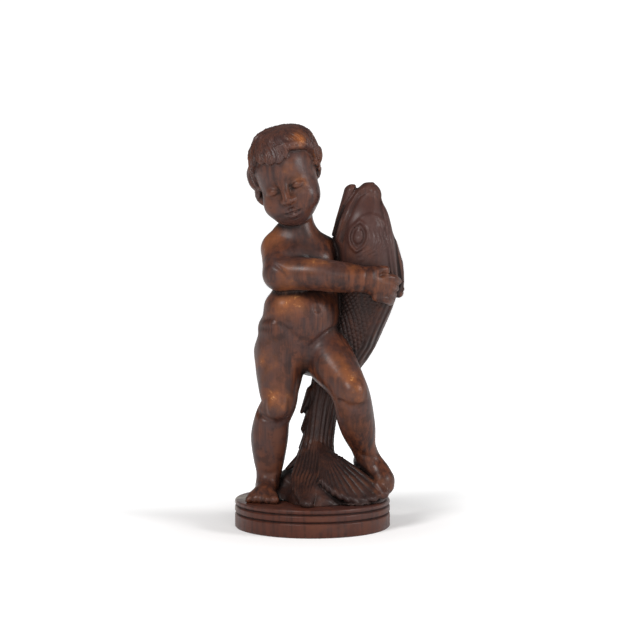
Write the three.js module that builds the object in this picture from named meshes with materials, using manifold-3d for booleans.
// A wooden cherub clasping a tall fish, carved in one block with its mound and round moulded plinth.
// Millimetres, +Z up, the figure faces -Y. The origin is the centre of the plinth's underside.
import * as THREE from "three";
import { edgeTable, triTable } from "three/addons/objects/MarchingCubes.js";
import { mergeVertices } from "three/addons/utils/BufferGeometryUtils.js";
import Module from "manifold-3d";

// The plinth's own sizes.
const PLINTH_RADIUS = 85;
const PLINTH_HEIGHT = 30;
const LOWER_GROOVE_HEIGHT = 16;
const UPPER_GROOVE_HEIGHT = 24.4;
const GROOVE_DEPTH = 2.4;
const GROOVE_HALF_WIDTH = 1.5;
const FOOT_CHAMFER = 1.2;
const TOP_ROUNDING = 2;
const PLINTH_SIDES = 64;

// The carving's height above the plinth. Its pose is drawn 410 mm tall and scaled to this height.
const CARVING_HEIGHT = 410;
const DRAWN_HEIGHT = 410;
const CARVING_SCALE = CARVING_HEIGHT / DRAWN_HEIGHT;

// The mound keeps this far inside the plinth's rim and is rooted this deep in its top.
const MOUND_INSET = 3;
const ROOT_DEPTH = 5;

// The drawn form lies inside this box, is cut this finely and keeps this many facets.
const DRAWN_LOW = [-92, -86];
const DRAWN_HIGH = [112, 90, 426];
const CUT_STEP = 2.4;
const CARVED_FACETS = 8100;

const STAINED_WOOD = { color: 0x4a2a20, roughness: 0.45, metalness: 0 };

const degrees = THREE.MathUtils.degToRad;
const clamp = THREE.MathUtils.clamp;
const mix = THREE.MathUtils.lerp;

// A form is a function of a point that gives its distance to the surface, negative inside the wood.

const smoothMin = (a, b, k) => {
  const h = Math.max(k - Math.abs(a - b), 0);
  return Math.min(a, b) - (h * h) / (4 * k);
};
const smoothMax = (a, b, k) => -smoothMin(-a, -b, k);

const ball = ([cx, cy, cz], r) => (x, y, z) =>
  Math.sqrt((x - cx) * (x - cx) + (y - cy) * (y - cy) + (z - cz) * (z - cz)) - r;

const rotation = (rx, ry, rz) =>
  new THREE.Matrix4().makeRotationFromEuler(
    new THREE.Euler(degrees(rx), degrees(ry), degrees(rz), "ZYX"),
  ).elements;

// A form whose far field is only the distance to a ball round it, which saves work.
const REACH = 16;
const within = ([cx, cy, cz], r, form) => (x, y, z) => {
  const d = Math.sqrt((x - cx) * (x - cx) + (y - cy) * (y - cy) + (z - cz) * (z - cz)) - r;
  return d > REACH ? d : form(x, y, z);
};

// An ellipsoid with its own radii, turned by angles about X, Y and Z in degrees.
const egg = ([cx, cy, cz], [rx, ry, rz], turn = [0, 0, 0]) => {
  const m = rotation(...turn);
  return within([cx, cy, cz], Math.max(rx, ry, rz), (x, y, z) => {
    const px = x - cx;
    const py = y - cy;
    const pz = z - cz;
    const u = (m[0] * px + m[1] * py + m[2] * pz) / rx;
    const v = (m[4] * px + m[5] * py + m[6] * pz) / ry;
    const w = (m[8] * px + m[9] * py + m[10] * pz) / rz;
    const near = Math.sqrt(u * u + v * v + w * w);
    const slope = Math.sqrt((u * u) / (rx * rx) + (v * v) / (ry * ry) + (w * w) / (rz * rz));
    return slope > 0 ? (near * (near - 1)) / slope : -Math.min(rx, ry, rz);
  });
};

const blend = (k, ...forms) => (x, y, z) => {
  let d = forms[0](x, y, z);
  for (let i = 1; i < forms.length; i++) d = smoothMin(d, forms[i](x, y, z), k);
  return d;
};

const carveOut = (k, form, ...tools) => (x, y, z) => {
  let d = form(x, y, z);
  for (const tool of tools) d = smoothMax(d, -tool(x, y, z), k);
  return d;
};

// Twice the value a part of the way from b to c on a smooth line through a, b, c and d.
const bend = (t, a, b, c, d) =>
  2 * b + t * (c - a + t * (2 * a - 5 * b + 4 * c - d + t * (3 * (b - c) + d - a)));

// Points along a smooth run through the given ones, with as many steps between each two.
function smoothRun(points, steps) {
  const run = [];
  for (let i = 0; i < points.length - 1; i++) {
    const [a, b, c, d] = [i - 1, i, i + 1, i + 2].map((j) => points[clamp(j, 0, points.length - 1)]);
    for (let s = 0; s < steps; s++) {
      const t = s / steps;
      run.push(a.map((v, j) => 0.5 * bend(t, v, b[j], c[j], d[j])));
    }
  }
  run.push(points[points.length - 1]);
  return run;
}

// A round-sectioned form along a smooth run of points [x, y, z, r].
const LIMB_SIZE = 9;
function chain(points, steps = points.length > 2 ? 3 : 1) {
  const run = smoothRun(points, steps);
  const parts = new Float64Array((run.length - 1) * LIMB_SIZE);
  for (let i = 1; i < run.length; i++) {
    const a = run[i - 1];
    const along = run[i].map((v, j) => v - a[j]);
    const square = along[0] ** 2 + along[1] ** 2 + along[2] ** 2;
    parts.set([...a, ...along, 1 / square], (i - 1) * LIMB_SIZE);
  }
  const ends = [0, 1, 2].map((j) => run.map((p) => p[j]));
  const middle = ends.map((values) => (Math.min(...values) + Math.max(...values)) / 2);
  const far = Math.max(...run.map((p) => Math.hypot(...middle.map((v, j) => p[j] - v)) + p[3]));
  return within(middle, far, (x, y, z) => {
    let best = Infinity;
    for (let i = 0; i < parts.length; i += LIMB_SIZE) {
      const px = x - parts[i];
      const py = y - parts[i + 1];
      const pz = z - parts[i + 2];
      const dx = parts[i + 4];
      const dy = parts[i + 5];
      const dz = parts[i + 6];
      const t = Math.min(Math.max((px * dx + py * dy + pz * dz) * parts[i + 8], 0), 1);
      const ex = px - t * dx;
      const ey = py - t * dy;
      const ez = pz - t * dz;
      const d = Math.sqrt(ex * ex + ey * ey + ez * ez) - parts[i + 3] - t * parts[i + 7];
      if (d < best) best = d;
    }
    return best;
  });
}

const limb = (a, b) => chain([a, b]);

const bump = (d, width) => Math.exp(-((d / width) ** 2));

// A form with soft grooves along lines close to its surface. A line's rows are [x, y, z, depth].
function creased(width, form, ...lines) {
  const grooves = lines.map((line) => ({
    path: chain(line.map(([x, y, z]) => [x, y, z, 0])),
    depth: Math.max(...line.map((row) => row[3])),
  }));
  return (x, y, z) => {
    const d = form(x, y, z);
    if (Math.abs(d) > REACH) return d;
    let cut = 0;
    for (const { path, depth } of grooves) cut += depth * bump(path(x, y, z), width);
    return d + cut;
  };
}

// A form drawn in its own frame: placed at a point and turned by angles in degrees.
const placed = ([cx, cy, cz], turn, form) => {
  const m = rotation(...turn);
  return (x, y, z) => {
    const px = x - cx;
    const py = y - cy;
    const pz = z - cz;
    return form(
      m[0] * px + m[1] * py + m[2] * pz,
      m[4] * px + m[5] * py + m[6] * pz,
      m[8] * px + m[9] * py + m[10] * pz,
    );
  };
};

const bezier = (a, b, c, t) =>
  a.map((v, i) => (1 - t) ** 2 * v + 2 * t * (1 - t) * b[i] + t * t * c[i]);

const between = (a, b, t) => a.map((v, i) => mix(v, b[i], t));

// The trunk, drawn upright and square to the front, then turned towards the fish.
const TRUNK_PLACE = [-12, 0, 0];
const TRUNK_TURN = [0, 0, 21];

function makeTrunk() {
  const mass = blend(
    12,
    egg([0, 3, 254], [36, 28, 38]),
    egg([-1, -4, 207], [43, 31, 34]),
    egg([0, -7, 188], [32, 26, 24]),
    egg([-2, 4, 168], [46, 29, 30]),
  );
  const pads = [
    egg([-15, -13, 262], [18, 14, 15]),
    egg([15, -13, 262], [18, 14, 15]),
    egg([-20, 19, 157], [24, 24, 25]),
    egg([20, 19, 157], [24, 24, 25]),
    egg([-33, 2, 188], [14, 22, 14]),
    egg([-29, 0, 212], [13, 22, 12]),
    egg([31, 1, 229], [14, 20, 20]),
  ];
  const hollows = carveOut(
    4,
    blend(10, mass, ...pads),
    limb([0, 35, 270, 4], [0, 36, 190, 4]),
    limb([0, 47, 170, 3], [0, 43, 142, 4]),
  );
  const folded = creased(
    3.2,
    hollows,
    [[-47, 4, 198, 1.4], [-42, -15, 199, 2.4], [-32, -27, 199.5, 2.4], [-17, -35, 196.5, 0.2]],
    [[-31, -24, 180, 0.4], [-22, -27, 168, 1.6], [-12, -27, 158, 1]],
    [[30, -20, 180, 0.4], [22, -27, 170, 1.6], [12, -28, 160, 1]],
    [[-0.6, -36, 209.6, 3], [0.6, -36, 208.2, 3]],
  );
  return placed(TRUNK_PLACE, TRUNK_TURN, folded);
}

const NECK = [
  [-15, 4, 284, 20],
  [-16.5, 1, 303, 17.6],
  [-19, -4, 322, 17],
];
const RIGHT_SHOULDER = [-35.6, 2, 273, 20.2];
const RIGHT_ELBOW = [-34.8, -26, 247, 17.8];
const RIGHT_WRIST = [58, -37, 241, 13.5];
const LEFT_SHOULDER = [8, 9, 270, 18];

function makeShoulders() {
  return blend(
    9,
    chain(NECK),
    limb([-14, 6, 284, 19], RIGHT_SHOULDER),
    limb([-14, 8, 282, 18], LEFT_SHOULDER),
    egg([-28, 3, 290], [14, 13, 12]),
  );
}

// The right arm crosses the chest, and its hand lies on the fish with the fingers round its edge.
function makeRightArm() {
  const upper = limb(RIGHT_SHOULDER, RIGHT_ELBOW);
  const fore = chain([RIGHT_ELBOW, [-2, -37, 247, 17.5], [30, -40, 244, 16.5], RIGHT_WRIST]);
  const palm = egg([70, -34, 236], [17, 10, 17], [0, 20, 18]);
  const thumb = chain([
    [62, -40, 248, 6],
    [72, -37, 254, 5.5],
    [80, -33, 257, 4.6],
  ]);
  const fingers = [0, 1, 2, 3].map((i) =>
    chain([
      [77 - 2 * i, -36, 244 - 8.5 * i, 5.6],
      [87 - 2.5 * i, -31, 242 - 9 * i, 5.2],
      [93 - 3 * i, -22, 239 - 9.2 * i, 4.6],
    ]),
  );
  const hand = blend(2.5, palm, thumb, ...fingers);
  return blend(5, upper, fore, within([76, -34, 238], 34, hand));
}

// The left arm goes round behind the fish, and its fingers come out at the far edge.
function makeLeftArm() {
  const arm = chain([LEFT_SHOULDER, [36, 36, 262, 16.5], [62, 45, 252, 15.5], [84, 35, 238, 13]]);
  const palm = egg([89, 27, 236], [9, 12, 15], [0, 0, 30]);
  const fingers = [0, 1, 2].map((i) =>
    chain([
      [92, 24, 242 - 8 * i, 5.2],
      [95.5, 15, 240 - 7.5 * i, 4.8],
      [94.5, 8, 238 - 7 * i, 4.4],
    ]),
  );
  return blend(4, arm, within([92, 20, 232], 30, blend(2.5, palm, ...fingers)));
}

// Toes fan from a small to a big one across the end of a foot, between two points.
const toes = (small, big, small_tip, big_tip) =>
  [0, 1, 2, 3, 4].map((i) => {
    const t = i / 4;
    const r = 3.6 + 1.7 * t * t;
    return limb([...between(small, big, t), r + 0.8], [...between(small_tip, big_tip, t), r]);
  });

function makeStandingLeg() {
  const leg = chain([
    [-35, 1, 160, 28.5],
    [-35.8, -4, 140, 25.8],
    [-36.5, -8, 122, 22],
    [-36.5, -10, 106, 19.2],
    [-43.8, -5, 88, 19.3],
    [-46.9, -1, 68, 20.5],
    [-47.5, 0, 47, 17.6],
    [-47.6, -1, 32, 14.3],
    [-49, -3, 18, 12.6],
  ]);
  const kneecap = egg([-38, -23, 106], [13, 9, 13]);
  const foot = blend(
    5,
    chain([
      [-47, 8, 11, 11],
      [-50, -8, 12, 12],
      [-53, -22, 8, 11],
    ]),
    egg([-54, -25, 6], [16, 13, 8]),
  );
  const row = toes([-67, -26, 3], [-42, -31, 4], [-69, -32, 3], [-41, -41, 4]);
  const whole = blend(5, leg, kneecap, foot, within([-54, -32, 6], 24, blend(1.2, ...row)));
  return creased(3, whole, [[-57, -16, 96, 0.6], [-43, -28, 91, 1.6], [-28, -20, 95, 0.6]]);
}

function makeSteppingLeg() {
  const leg = chain([
    [14, 0, 160, 28],
    [23, -14, 147, 26],
    [35.2, -28, 130, 21.5],
    [42.4, -31, 114, 20.3],
    [46.2, -24, 94, 20.4],
    [50, -19, 78, 18.6],
    [55, -14, 60, 14],
    [60, -9, 46, 13.5],
  ]);
  const kneecap = egg([45.5, -45, 120], [12.5, 9, 13], [0, 0, 20]);
  const foot = blend(
    5,
    chain([
      [56, -1, 41, 11.4],
      [68, -11, 35.5, 12.8],
      [77, -19, 24, 12],
    ]),
    egg([77, -21, 22], [13, 13, 9], [-20, 42, -30]),
  );
  const row = toes([82, -8, 22], [71, -32, 18], [86, -10, 15], [77, -39, 10]);
  const whole = blend(5, leg, kneecap, foot, within([78, -22, 18], 26, blend(1.2, ...row)));
  return creased(3, whole, [[28, -42, 108, 0.5], [41, -52, 104, 1.6], [56, -44, 109, 0.5]]);
}

// The head, drawn upright and facing -Y, then set on the neck with its tilt, nod and turn.
const HEAD_PLACE = [-27, -12, 353];
const HEAD_TURN = [20, -18, -14];
const SCALP_CENTRE = [0, 5, 12];
const SCALP = [35, 41, 39.8];
const SIDE_CENTRE = [13.8, 7, 24.6];
const SIDE = [24.6, 31, 25];
const SKULL = [34, 39.5, 33.5];

// Directions from the scalp's centre: longitude 0 is the face, 90 the viewer's right, latitude 90 the top.
const CROWN = [94, 64];
const HAIRLINE = [
  [-180, -38],
  [-112, -38],
  [-80, -30],
  [-60, 4],
  [-40, 24],
  [-24, 22],
  [-8, 17],
  [10, 15],
  [24, 17],
  [36, 29],
  [60, 24],
  [74, 8],
  [86, -24],
  [112, -38],
  [180, -38],
];

// The locks round the crown, how far they stand out, and how far each overlaps the next along its way.
const LOCKS = 17;
const LOCK_HEIGHT = 2.3;
const OVERLAP_HEIGHT = 1.5;
const OVERLAP_LENGTH = 0.85;
const SWIRL = 0.85;
const HAIR_EDGE = 7;

// The side roll and the curls: longitude, latitude, lift and radius of each place.
const CURLS = [
  [[20, 40, 0, 5], [42, 35, 1, 6.4], [60, 29, 1, 6.6], [75, 21, 1, 6.2], [88, 11, 1, 5.2], [97, 2, 2, 4]],
  [[30, 56, -1, 4.4], [56, 48, 0, 5.2], [76, 35, 0, 5.2], [92, 22, 0, 4.6], [101, 10, 0, 3.6]],
  [[92, 9, 3, 4.4], [101, 1, 5, 4.8], [100, -10, 4, 4.2], [89, -15, 2, 3.8], [79, -11, 1, 2.8]],
  [[90, -21, 1, 3.4], [98, -28, 2, 4], [96, -37, 2, 3.8], [86, -40, 1, 2.8]],
  [[-58, 34, -1, 4.4], [-68, 24, -1, 4.6], [-72, 10, 0, 4.4]],
  [[-78, 14, 0, 4.8], [-88, 2, 3, 6], [-88, -11, 4.5, 6.6], [-80, -20, 3, 5], [-70, -20, 1, 3]],
  [[-80, -24, 4, 4.8], [-88, -31, 8, 6], [-82, -40, 8, 5], [-74, -43, 4, 3.4]],
];

function direction(longitude, latitude) {
  const lon = degrees(longitude);
  const lat = degrees(latitude);
  return new THREE.Vector3(Math.cos(lat) * Math.sin(lon), -Math.cos(lat) * Math.cos(lon), Math.sin(lat));
}

const scalpPoint = (way, lift) => way.toArray().map((v, i) => SCALP_CENTRE[i] + v * (SCALP[i] + lift));

const step = (offset, width) => THREE.MathUtils.smoothstep(offset, -width / 2, width / 2);

// The value of a line of [place, value] points at a place, where places rise.
function valueAt(place, line) {
  let i = 1;
  while (i < line.length - 1 && place > line[i][0]) i++;
  const [a, b] = [line[i - 1], line[i]];
  return mix(a[1], b[1], clamp((place - a[0]) / (b[0] - a[0]), 0, 1));
}

// The cap of hair: overlapping pointed locks that swirl out from the crown and end at the hairline.
function makeCap() {
  const crown = direction(...CROWN);
  const ahead = direction(0, 0).addScaledVector(crown, -crown.dot(direction(0, 0))).normalize();
  const aside = crown.clone().cross(ahead);
  const plain = blend(8, egg(SCALP_CENTRE, SCALP), egg(SIDE_CENTRE, SIDE));
  const way = new THREE.Vector3();
  return (x, y, z) => {
    const d = plain(x, y, z);
    if (Math.abs(d) > REACH) return d;
    way.set(
      (x - SCALP_CENTRE[0]) / SCALP[0],
      (y - SCALP_CENTRE[1]) / SCALP[1],
      (z - SCALP_CENTRE[2]) / SCALP[2],
    ).normalize();
    const down = Math.acos(clamp(way.dot(crown), -1, 1));
    const bearing = Math.atan2(way.dot(aside), way.dot(ahead));
    const turned = bearing + SWIRL * (1 - down / 1.8) + 0.16 * Math.sin(4.5 * down + 2 * bearing);
    const place = (LOCKS * turned) / (2 * Math.PI);
    const number = Math.floor(place);
    const across = 2 * (place - number) - 1;
    const dome = Math.sqrt(clamp(1 - across * across, 0, 1));
    const mixed = Math.sin(THREE.MathUtils.euclideanModulo(number, LOCKS) * 12.99 + 3.1) * 437.58;
    const chance = mixed - Math.floor(mixed);
    const along = down / OVERLAP_LENGTH + 0.8 * chance - 0.3 * across * across;
    const tier = (along - Math.floor(along)) * step(down - 0.55, 0.4);
    const spread = clamp(1.7 * Math.sin(down), 0.2, 1);
    const height = spread * dome * (LOCK_HEIGHT * (0.75 + 0.5 * chance) + OVERLAP_HEIGHT * tier);
    const longitude = THREE.MathUtils.radToDeg(Math.atan2(way.x, -way.y));
    const latitude = THREE.MathUtils.radToDeg(Math.asin(way.z));
    const inside = step(latitude - valueAt(longitude, HAIRLINE) - 5 * (1 - dome), 5);
    return d - inside * height + HAIR_EDGE * (1 - inside);
  };
}

function makeHair() {
  const curls = CURLS.map((run) =>
    chain(run.map(([lon, lat, lift, r]) => [...scalpPoint(direction(lon, lat), lift - 1), r]), 3),
  );
  return blend(1.2, makeCap(), ...curls);
}

function makeFace() {
  const both = (make) => [make(-1), make(1)];
  const skull = blend(
    10,
    egg(SCALP_CENTRE, SKULL),
    egg([0, -7, -14], [30, 29, 33]),
    ...both((s) => egg([-1.8 + 15.2 * s, -18.5, -23.5], [15.2, 15.5, 15])),
    egg([0, -24.5, -38], [10.5, 10.5, 10]),
    egg([0, -28, -29], [13, 8.5, 9]),
    egg([-6, -10, -39], [20, 18, 12]),
  );
  const sockets = both((s) => egg([14.2 * s, -42.5, -3.5], [10.5, 9, 7], [0, 8 * s, 0]));
  const eyes = both((s) => egg([13.8 * s, -27.2, -6], [8.4, 7.6, 6.4]));
  const nose = blend(
    2.4,
    chain([[0, -32.4, 0, 4], [0, -37.6, -9.5, 4], [0, -40.9, -16.5, 4.9]]),
    ...both((s) => egg([4.6 * s, -37.6, -17.7], [3.4, 3.8, 3])),
  );
  const lips = blend(
    1,
    ...both((s) => limb([1.8 * s, -38.4, -28.1, 2.7], [8.6 * s, -35, -29.5, 1.5])),
    chain([[-5.4, -36, -32.9, 2.2], [0, -37.4, -33.9, 3.2], [5.4, -36, -32.9, 2.2]]),
  );
  const head = blend(2.2, carveOut(8, skull, ...sockets), ...eyes);
  return creased(
    1.4,
    blend(2, blend(4.4, head, nose), lips),
    [[-9, -36, -30, 1], [-4, -39, -31, 1.4], [0, -40.2, -30.5, 1.4], [4, -39, -31, 1.4], [9, -36, -30, 1]],
    ...both((s) => [[6.8 * s, -31.8, -7.8, 1], [13 * s, -33.8, -9.4, 1], [20.8 * s, -31, -7.6, 1]]),
  );
}

function makeHead() {
  const head = blend(1.6, makeFace(), makeHair());
  return within(HEAD_PLACE, 62, placed(HEAD_PLACE, HEAD_TURN, head));
}

// The fish stands on its tail. Both of its sides mirror across its own middle plane.
const FISH_MIDDLE = 5;
const FISH_DEPTH = 0.88;
const FISH_SPINE = [
  [57, 5, 300, 28],
  [59, 5, 275, 32],
  [61, 6, 250, 32.5],
  [60.5, 8, 225, 31],
  [53.5, 12, 200, 28],
  [42.5, 18, 172, 24.5],
  [29.5, 24, 146, 22],
  [18.5, 25, 124, 19.5],
  [11.5, 21, 102, 17.8],
  [7.5, 15, 80, 17.8],
  [4.5, 10, 60, 18.5],
  [4, 6, 40, 21],
];
// Lines on the fish's side, as [x, z]: the mouth's parting, the lip, the fold behind it and the snout's ridge.
const MOUTH = [
  [54, 348],
  [45, 335],
  [35, 319],
  [28.5, 303],
  [23, 282],
];
const LIP = [
  [66, 345],
  [51, 336.5],
  [40, 321],
  [33, 305],
  [28, 282],
];
const LIP_FOLD = [
  [62, 337],
  [51, 330],
  [44, 317],
  [38, 303],
  [33, 282],
];
const SNOUT_RIDGE = [
  [67, 343],
  [67, 327],
  [66, 314],
];
const DORSAL_LINE = [
  [75, 318],
  [79, 300],
  [82, 270],
  [86, 237],
  [72, 208],
  [62, 186],
  [54, 165],
  [44, 150],
];
const EYE_CENTRE = [49.5, 287];
const EYE_LEAN = -8;

// The distance in the X-Z plane from a point to a line of points.
function planeDistance(x, z, path) {
  let best = Infinity;
  for (let i = 1; i < path.length; i++) {
    const [ax, az] = path[i - 1];
    const dx = path[i][0] - ax;
    const dz = path[i][1] - az;
    const t = clamp(((x - ax) * dx + (z - az) * dz) / (dx * dx + dz * dz), 0, 1);
    best = Math.min(best, Math.sqrt((x - ax - t * dx) ** 2 + (z - az - t * dz) ** 2));
  }
  return best;
}

// Where a line of falling points stands at a height.
function lineAt(z, path) {
  let i = 1;
  while (i < path.length - 1 && z < path[i][1]) i++;
  const [ax, az] = path[i - 1];
  const [bx, bz] = path[i];
  return mix(ax, bx, clamp((z - az) / (bz - az), 0, 1));
}

// How far the fish's side is raised: its almond eye with a rim, the folds behind it and the back ridge.
function fishRelief(x, z) {
  const lean = degrees(EYE_LEAN);
  const u = (x - EYE_CENTRE[0]) * Math.cos(lean) + (z - EYE_CENTRE[1]) * Math.sin(lean);
  const v = (z - EYE_CENTRE[1]) * Math.cos(lean) - (x - EYE_CENTRE[0]) * Math.sin(lean);
  const almond = Math.sqrt((Math.abs(u) + 8) ** 2 + v * v) - 18;
  let h = 2.4 * bump(almond, 2) + 2.2 * clamp(1 - (u * u + v * v) / 42, 0, 1);
  for (const [offset, height] of [[7, 1.3], [13, 1.1]]) {
    if (u > 0) h += height * bump(almond - offset, 1.8) * bump(v + 2, 15);
  }
  const brow = 22 - Math.hypot((x - 63) * 1.16, z - 290);
  h += 1.5 * step(brow, 4) * step(z - 294, 12);
  if (z > 140) h += 1.6 * clamp((x - lineAt(z, DORSAL_LINE)) / 3 + 0.5, 0, 1);
  return h;
}

function makeFish() {
  const flat = (form) => (x, y, z) =>
    FISH_DEPTH * form(x, FISH_MIDDLE + (y - FISH_MIDDLE) / FISH_DEPTH, z);
  const body = flat(chain(FISH_SPINE, 6));
  const snout = flat(
    blend(
      5,
      limb([56, 5, 300, 27.8], [61, 5, 331.5, 14.5]),
      limb([37, 5, 288, 16], [43.5, 5, 334.5, 9.5]),
    ),
  );
  const back = chain([
    [71, 6, 312, 4],
    [82, 6, 286, 5.5],
    [93.5, 6, 258, 6],
    [96, 7, 230, 4.5],
  ]);
  const solid = blend(5, body, snout, back);
  return (x, y, z) => {
    const plain = solid(x, y, z);
    if (plain > REACH || z < 130) return plain;
    const side = clamp((Math.abs(y - FISH_MIDDLE) - 6) / 6, 0, 1);
    return (
      plain -
      fishRelief(x, z) * side +
      2.4 * bump(planeDistance(x, z, MOUTH), 2) -
      1.1 * bump(planeDistance(x, z, LIP), 1.9) +
      1.2 * bump(planeDistance(x, z, LIP_FOLD), 1.5) -
      0.9 * side * bump(planeDistance(x, z, SNOUT_RIDGE), 2.2)
    );
  };
}

// The tail fin is two fans of rays from the tail's front down over the mound. A ray is a bent limb.
const LEFT_FAN = {
  rays: 8,
  first: { start: [-7, 2, 52], bend: [-31, -19, 20], end: [-9, -62, 4] },
  last: { start: [6, -5, 56], bend: [12, -36, 24], end: [-4, -66, 3] },
};
const RIGHT_FAN = {
  rays: 11,
  first: { start: [6, -5, 56], bend: [10, -24, 42], end: [10, -45, 25] },
  last: { start: [18, 2, 46], bend: [48, -18, 38], end: [76, -38, 10] },
  edge: [38, -66, -4],
};

function makeFan({ rays, first, last, edge }) {
  const radii = [4.6, 4.2, 3.9, 3];
  const made = [];
  for (let i = 0; i < rays; i++) {
    const t = i / (rays - 1);
    const start = between(first.start, last.start, t);
    const middle = between(first.bend, last.bend, t);
    const end = edge ? bezier(first.end, edge, last.end, t) : between(first.end, last.end, t);
    made.push(chain(radii.map((r, j) => [...bezier(start, middle, end, j / 3), r]), 2));
  }
  return blend(1, ...made);
}

// The ragged edge of the lower fin, along the tail's left side, as tapering barbs.
function makeBarbs() {
  const barbs = [
    { tip: [-12, 18, 93], root: [0, 18, 115] },
    { tip: [-8, 14, 75], root: [3, 14, 97] },
    { tip: [-13, 12, 56], root: [-1, 12, 79] },
    { tip: [-18, 6, 39], root: [-3, 6, 60] },
    { tip: [-28, 2, 32], root: [-7, 2, 48] },
  ];
  return blend(1.5, ...barbs.map(({ tip, root }) => limb([...root, 7.5], [...tip, 2])));
}

function makeMound() {
  const rocks = blend(
    6,
    egg([6, 8, -6], [34, 46, 44]),
    egg([6, -22, -8], [34, 42, 34]),
    egg([56, -14, -4], [32, 30, 23], [0, 12, 0]),
    egg([44, -34, -4], [26, 26, 13]),
    egg([-26, 14, -6], [40, 42, 20]),
    egg([-24, 16, 2], [20, 24, 29]),
    egg([30, 36, -6], [34, 30, 20]),
  );
  const reach = (PLINTH_RADIUS - MOUND_INSET) / CARVING_SCALE;
  return (x, y, z) => smoothMax(rocks(x, y, z), Math.sqrt(x * x + y * y) - reach, 4);
}

// The whole carving above the plinth, with the cut that ends its root below the plinth's top.
function makeCarving() {
  const figure = blend(
    6,
    blend(7, makeTrunk(), makeShoulders(), makeLeftArm()),
    makeStandingLeg(),
    makeSteppingLeg(),
  );
  const body = blend(1.8, blend(2.5, figure, makeRightArm()), makeHead());
  const tail = blend(3, within([20, -28, 28], 78, blend(1.8, makeFan(LEFT_FAN), makeFan(RIGHT_FAN))));
  const fish = blend(3, makeFish(), within([-8, 10, 60], 62, makeBarbs()), tail);
  const all = blend(2, body, blend(3, fish, makeMound()));
  return (x, y, z) => Math.max(all(x, y, z), -(z + ROOT_DEPTH / CARVING_SCALE));
}

const CORNERS = [
  [0, 0, 0], [1, 0, 0], [1, 1, 0], [0, 1, 0],
  [0, 0, 1], [1, 0, 1], [1, 1, 1], [0, 1, 1],
];
const EDGES = [
  [0, 1], [1, 2], [2, 3], [3, 0], [4, 5], [5, 6], [6, 7], [7, 4], [0, 4], [1, 5], [2, 6], [3, 7],
];

// Samples a form on a grid, in blocks: a block far from the surface takes one value throughout.
function sample(form, low, counts, step) {
  const [nx, ny, nz] = counts;
  const values = new Float32Array(nx * ny * nz);
  const block = 8;
  const half = (step * (block - 1)) / 2;
  const safe = half * Math.sqrt(3) * 1.25;
  for (let bk = 0; bk < nz; bk += block) {
    for (let bj = 0; bj < ny; bj += block) {
      for (let bi = 0; bi < nx; bi += block) {
        const corner = [low[0] + bi * step, low[1] + bj * step, low[2] + bk * step];
        const middle = form(corner[0] + half, corner[1] + half, corner[2] + half);
        const far = Math.abs(middle) > safe;
        for (let k = bk; k < Math.min(bk + block, nz); k++) {
          for (let j = bj; j < Math.min(bj + block, ny); j++) {
            for (let i = bi; i < Math.min(bi + block, nx); i++) {
              values[i + nx * (j + ny * k)] = far
                ? middle
                : form(low[0] + i * step, low[1] + j * step, low[2] + k * step);
            }
          }
        }
      }
    }
  }
  return values;
}

// The surface of a form as points and triangles, by marching cubes over a grid.
function surfaceOf(form, low, high, step) {
  const counts = low.map((v, i) => Math.ceil((high[i] - v) / step) + 1);
  const [nx, ny] = counts;
  const values = sample(form, low, counts, step);
  const at = (i, j, k) => i + nx * (j + ny * k);
  const points = [];
  const triangles = [];
  const made = new Map();
  const crossing = (i, j, k, edge) => {
    const [a, b] = EDGES[edge].map((c) => CORNERS[c].map((o, axis) => o + [i, j, k][axis]));
    const ia = at(...a);
    const ib = at(...b);
    const key = Math.min(ia, ib) * 4194304 + Math.max(ia, ib);
    if (!made.has(key)) {
      const t = clamp(values[ia] / (values[ia] - values[ib]), 0.02, 0.98);
      made.set(key, points.length / 3);
      points.push(...between(a, b, t).map((v, axis) => low[axis] + v * step));
    }
    return made.get(key);
  };
  for (let k = 0; k < counts[2] - 1; k++) {
    for (let j = 0; j < counts[1] - 1; j++) {
      for (let i = 0; i < counts[0] - 1; i++) {
        let kind = 0;
        for (let c = 0; c < 8; c++) {
          const [x, y, z] = CORNERS[c];
          if (values[at(i + x, j + y, k + z)] < 0) kind |= 1 << c;
        }
        if (!edgeTable[kind]) continue;
        for (let n = kind * 16; triTable[n] !== -1; n += 3) {
          for (const turn of [0, 2, 1]) triangles.push(crossing(i, j, k, triTable[n + turn]));
        }
      }
    }
  }
  return { points, triangles };
}

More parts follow.
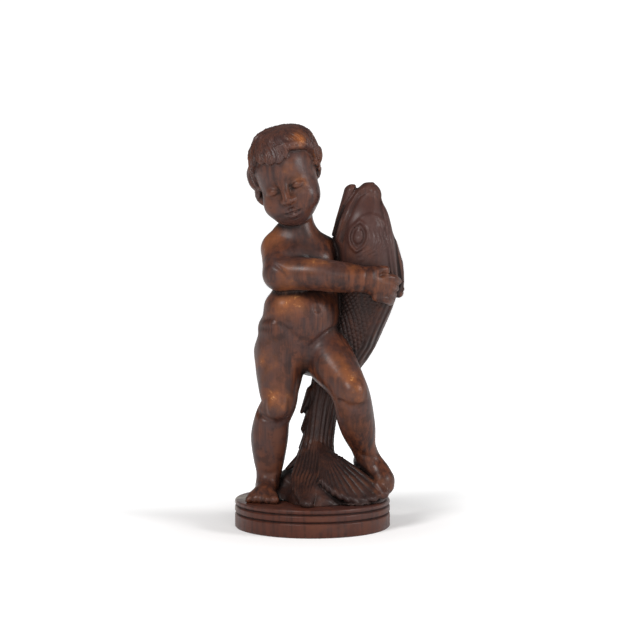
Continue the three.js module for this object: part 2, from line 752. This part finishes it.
// Collapses the edges that matter least, by the squared distances to the planes round them,
// until the surface has the wanted number of triangles. It stays closed, and no facet turns over.
function simplify({ points, triangles }, wanted) {
  const count = points.length / 3;
  const place = Float64Array.from(points);
  const faces = Int32Array.from(triangles);
  const around = Array.from({ length: count }, () => new Set());
  const quadric = new Float64Array(count * 10);
  const stamp = new Int32Array(count);
  let alive = faces.length / 3;

  const normalOf = (a, b, c) => {
    const u = [0, 1, 2].map((i) => b[i] - a[i]);
    const v = [0, 1, 2].map((i) => c[i] - a[i]);
    return [u[1] * v[2] - u[2] * v[1], u[2] * v[0] - u[0] * v[2], u[0] * v[1] - u[1] * v[0]];
  };
  const pointOf = (v) => [place[3 * v], place[3 * v + 1], place[3 * v + 2]];
  const length = (n) => Math.sqrt(n[0] * n[0] + n[1] * n[1] + n[2] * n[2]);

  for (let f = 0; f < alive; f++) {
    const corners = [faces[3 * f], faces[3 * f + 1], faces[3 * f + 2]];
    const [a, b, c] = corners.map(pointOf);
    const n = normalOf(a, b, c);
    const size = length(n) || 1;
    const [nx, ny, nz] = n.map((v) => v / size);
    const nd = -(nx * a[0] + ny * a[1] + nz * a[2]);
    const terms = [nx * nx, nx * ny, nx * nz, nx * nd, ny * ny, ny * nz, ny * nd, nz * nz, nz * nd, nd * nd];
    for (const v of corners) {
      around[v].add(f);
      terms.forEach((term, i) => (quadric[10 * v + i] += (term * size) / 2));
    }
  }

  const cost = (q, [x, y, z]) =>
    q[0] * x * x + 2 * q[1] * x * y + 2 * q[2] * x * z + 2 * q[3] * x +
    q[4] * y * y + 2 * q[5] * y * z + 2 * q[6] * y + q[7] * z * z + 2 * q[8] * z + q[9];
  const bestPlace = (u, v) => {
    const q = Array.from({ length: 10 }, (_, i) => quadric[10 * u + i] + quadric[10 * v + i]);
    const a = pointOf(u);
    const b = pointOf(v);
    const options = [between(a, b, 0.5), a, b];
    const span = Math.max(length([a[0] - b[0], a[1] - b[1], a[2] - b[2]]), 1e-6);
    const m = new THREE.Matrix3().set(q[0], q[1], q[2], q[1], q[4], q[5], q[2], q[5], q[7]);
    if (Math.abs(m.determinant()) > 1e-3) {
      const solved = new THREE.Vector3(-q[3], -q[6], -q[8]).applyMatrix3(m.invert());
      if (solved.distanceTo(new THREE.Vector3(...options[0])) < 2 * span) options.push(solved.toArray());
    }
    const costs = options.map((p) => cost(q, p));
    const i = costs.indexOf(Math.min(...costs));
    return { price: Math.max(costs[i], 0) + 1e-4 * span * span, target: options[i], q };
  };

  const heap = [];
  const swap = (i, j) => ([heap[i], heap[j]] = [heap[j], heap[i]]);
  const push = (entry) => {
    let i = heap.push(entry) - 1;
    while (i > 0 && heap[(i - 1) >> 1].price > heap[i].price) {
      swap(i, (i - 1) >> 1);
      i = (i - 1) >> 1;
    }
  };
  const pop = () => {
    const top = heap[0];
    const last = heap.pop();
    if (!heap.length) return top;
    heap[0] = last;
    for (let i = 0; ; ) {
      let least = i;
      for (const child of [2 * i + 1, 2 * i + 2]) {
        if (child < heap.length && heap[child].price < heap[least].price) least = child;
      }
      if (least === i) return top;
      swap(i, least);
      i = least;
    }
  };
  const offer = (u, v) => push({ u, v, stamps: [stamp[u], stamp[v]], ...bestPlace(u, v) });
  const neighbours = (v) => {
    const found = new Set();
    for (const f of around[v]) for (const i of [0, 1, 2]) found.add(faces[3 * f + i]);
    found.delete(v);
    return found;
  };
  const turnsOver = (v, other, target) => {
    for (const f of around[v]) {
      const corners = [faces[3 * f], faces[3 * f + 1], faces[3 * f + 2]];
      if (corners.includes(other)) continue;
      const before = normalOf(...corners.map(pointOf));
      const after = normalOf(...corners.map((c) => (c === v ? target : pointOf(c))));
      const dot = before[0] * after[0] + before[1] * after[1] + before[2] * after[2];
      if (dot < 0.25 * length(before) * length(after) || length(after) < 1e-3) return true;
    }
    return false;
  };

  for (let v = 0; v < count; v++) for (const n of neighbours(v)) if (n > v) offer(v, n);
  while (alive > wanted && heap.length) {
    const { u, v, stamps, target, q } = pop();
    if (stamps[0] !== stamp[u] || stamps[1] !== stamp[v]) continue;
    const nearU = neighbours(u);
    const nearV = neighbours(v);
    const shared = [...nearU].filter((n) => nearV.has(n));
    if (shared.length !== 2 || turnsOver(u, v, target) || turnsOver(v, u, target)) continue;
    target.forEach((value, i) => (place[3 * u + i] = value));
    q.forEach((value, i) => (quadric[10 * u + i] = value));
    for (const f of [...around[v]]) {
      const corners = [0, 1, 2].map((i) => faces[3 * f + i]);
      if (corners.includes(u)) {
        corners.forEach((c) => around[c].delete(f));
        faces[3 * f] = -1;
        alive -= 1;
      } else {
        faces[3 * f + corners.indexOf(v)] = u;
        around[u].add(f);
      }
    }
    around[v].clear();
    stamp[v] = -1;
    stamp[u] += 1;
    for (const n of neighbours(u)) offer(u, n);
  }
  const kept = [];
  for (let f = 0; f < faces.length; f += 3) {
    if (faces[f] >= 0) kept.push(faces[f], faces[f + 1], faces[f + 2]);
  }
  return { points: place, triangles: kept };
}

const wasm = await Module();
wasm.setup();

function solidFrom(geometry) {
  const bare = geometry.clone();
  bare.deleteAttribute("normal");
  bare.deleteAttribute("uv");
  const merged = mergeVertices(bare, 1e-4);
  return new wasm.Manifold(
    new wasm.Mesh({
      numProp: 3,
      vertProperties: new Float32Array(merged.attributes.position.array),
      triVerts: new Uint32Array(merged.index.array),
    }),
  );
}

function geometryFrom({ points, triangles }) {
  const geometry = new THREE.BufferGeometry();
  geometry.setAttribute("position", new THREE.Float32BufferAttribute(points, 3));
  geometry.setIndex(Array.from(triangles));
  return geometry;
}

// The carving's surface, from a little below its root to above the hair.
function carvingGeometry() {
  const low = [...DRAWN_LOW, -ROOT_DEPTH / CARVING_SCALE - CUT_STEP * 1.5];
  const rough = surfaceOf(makeCarving(), low, DRAWN_HIGH, CUT_STEP);
  const geometry = geometryFrom(simplify(rough, CARVED_FACETS));
  geometry.scale(CARVING_SCALE, CARVING_SCALE, CARVING_SCALE);
  geometry.translate(0, 0, PLINTH_HEIGHT);
  return geometry;
}

// The plinth's turned profile: a chamfered foot, two grooves with a round band between them, and a top.
function plinthGeometry() {
  const profile = [
    [0, 0],
    [PLINTH_RADIUS - FOOT_CHAMFER, 0],
    [PLINTH_RADIUS, FOOT_CHAMFER],
  ];
  for (const height of [LOWER_GROOVE_HEIGHT, UPPER_GROOVE_HEIGHT]) {
    profile.push(
      [PLINTH_RADIUS, height - 2 * GROOVE_HALF_WIDTH],
      [PLINTH_RADIUS - GROOVE_DEPTH / 3, height - GROOVE_HALF_WIDTH],
      [PLINTH_RADIUS - GROOVE_DEPTH, height],
      [PLINTH_RADIUS - GROOVE_DEPTH / 3, height + GROOVE_HALF_WIDTH],
    );
  }
  profile.push(
    [PLINTH_RADIUS, PLINTH_HEIGHT - TOP_ROUNDING],
    [PLINTH_RADIUS - 0.3 * TOP_ROUNDING, PLINTH_HEIGHT - 0.3 * TOP_ROUNDING],
    [PLINTH_RADIUS - TOP_ROUNDING, PLINTH_HEIGHT],
    [0, PLINTH_HEIGHT],
  );
  const geometry = new THREE.LatheGeometry(profile.map(([r, z]) => new THREE.Vector2(r, z)), PLINTH_SIDES);
  geometry.rotateX(Math.PI / 2);
  return geometry;
}

function makeStatue() {
  const joined = solidFrom(plinthGeometry()).add(solidFrom(carvingGeometry()));
  const { vertProperties, triVerts } = joined.getMesh();
  const geometry = geometryFrom({ points: vertProperties, triangles: triVerts });
  geometry.computeVertexNormals();
  const statue = new THREE.Mesh(geometry, new THREE.MeshStandardMaterial(STAINED_WOOD));
  statue.name = "cherub_and_fish_statue";
  return statue;
}

const group = new THREE.Group();
group.add(makeStatue());

export default group;
